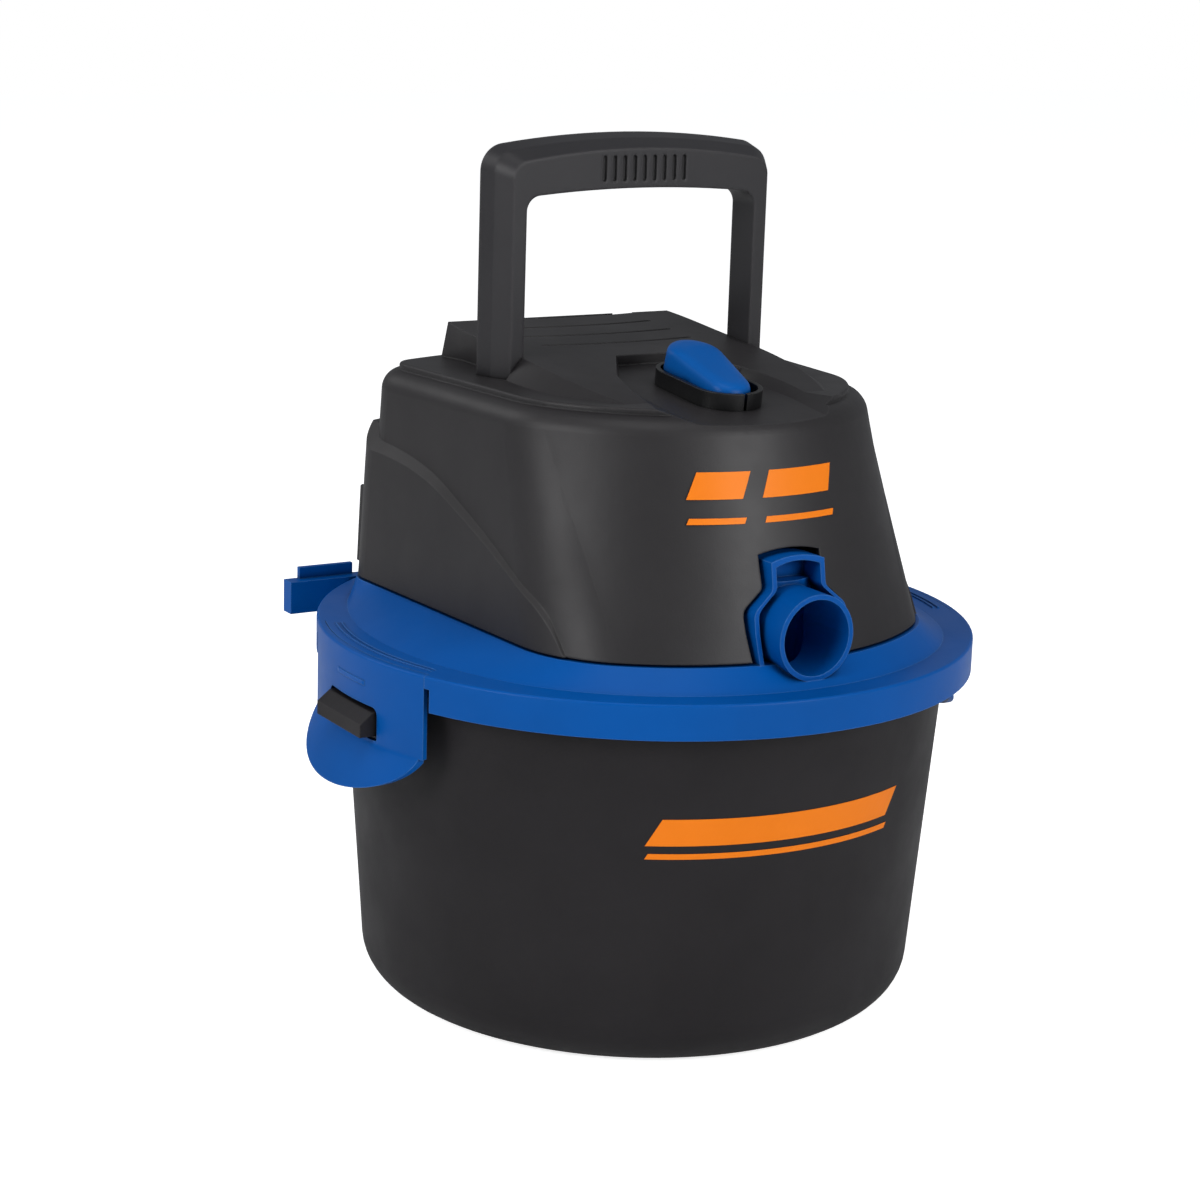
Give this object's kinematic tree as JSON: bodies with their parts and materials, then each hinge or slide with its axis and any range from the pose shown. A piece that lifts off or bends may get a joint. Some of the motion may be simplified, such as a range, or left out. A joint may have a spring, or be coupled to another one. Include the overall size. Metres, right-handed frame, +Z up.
{
  "type": "shop vacuum",
  "caption": "Small wet and dry shop vacuum: tapered tank, round lid with snap latches, D-shaped motor housing with rocker switch, hose inlet and upright carry handle.",
  "frame": {"origin": "centre of the tank base, on the floor", "axes": "+Z up, -Y the hose inlet side (front), X across the handle"},
  "size_m": [0.323, 0.3, 0.388],
  "materials": {
    "tank_plastic": "fine moulded texture",
    "lid_plastic": "satin moulded",
    "seal_rubber": "soft",
    "housing_plastic": "fine moulded texture",
    "handle_plastic": "satin moulded",
    "rocker_plastic": "satin moulded",
    "inner_plastic": "plain",
    "cage_plastic": "plain",
    "float_plastic": "plain",
    "inner_metal": "plain",
    "screw_steel": "zinc plated",
    "shaft_steel": "ground",
    "core_iron": "laminated",
    "copper_wire": "enamelled copper",
    "brass": "plain",
    "carbon": "pressed carbon",
    "foam": "open foam"
  },
  "bodies": {
    "tank": {"tank": "tank_plastic"},
    "head": {"lid": "lid_plastic", "lid_gasket": "seal_rubber", "motor_housing": "housing_plastic", "housing_screws": "screw_steel", "handle": "handle_plastic", "handle_screws": "screw_steel", "switch_bezel": "handle_plastic", "switch_body": "inner_plastic", "rocker_pin": "screw_steel", "cord_gland": "seal_rubber", "motor_gasket": "seal_rubber", "fan_case": "inner_metal", "motor_screws": "screw_steel", "motor_frame_lower": "inner_metal", "bearings": "shaft_steel", "stator": "core_iron", "field_coils": "copper_wire", "motor_frame_upper": "inner_metal", "brush_holders": "brass", "brushes": "carbon", "frame_screws": "screw_steel", "filter_cage": "cage_plastic", "cage_screws": "screw_steel", "foam_sleeve": "foam"},
    "latch_left": {"latch_left": "lid_plastic"},
    "latch_right": {"latch_right": "lid_plastic"},
    "rocker": {"switch_rocker": "rocker_plastic"},
    "rotor": {"motor_shaft": "shaft_steel", "impeller": "inner_metal", "armature": "core_iron", "commutator": "copper_wire", "cooling_fan": "inner_plastic"},
    "float": {"float_cup": "float_plastic"}
  },
  "joints": [
    {"name": "head_lift", "type": "slide", "parent": "tank", "child": "head", "axis": [0, 0, 1], "range_m": [0, 0.24]},
    {"name": "latch_left_swing", "type": "hinge", "parent": "head", "child": "latch_left", "pos_m": [-0.1466, 0, 0.1705], "axis": [0, 1, 0], "range_deg": [0, 15], "stiffness_Nm_per_rad": 0.6},
    {"name": "latch_right_swing", "type": "hinge", "parent": "head", "child": "latch_right", "pos_m": [0.1466, 0, 0.1705], "axis": [0, -1, 0], "range_deg": [0, 15], "stiffness_Nm_per_rad": 0.6},
    {"name": "rocker_tip", "type": "hinge", "parent": "head", "child": "rocker", "pos_m": [0, -0.045, 0.28452], "axis": [-1, 0, 0], "range_deg": [0, 10]},
    {"name": "motor_spin", "type": "hinge", "parent": "head", "child": "rotor", "pos_m": [0, 0, 0.23], "axis": [0, 0, 1], "continuous": true},
    {"name": "float_rise", "type": "slide", "parent": "head", "child": "float", "axis": [0, 0, 1], "range_m": [0, 0.042]}
  ]
}
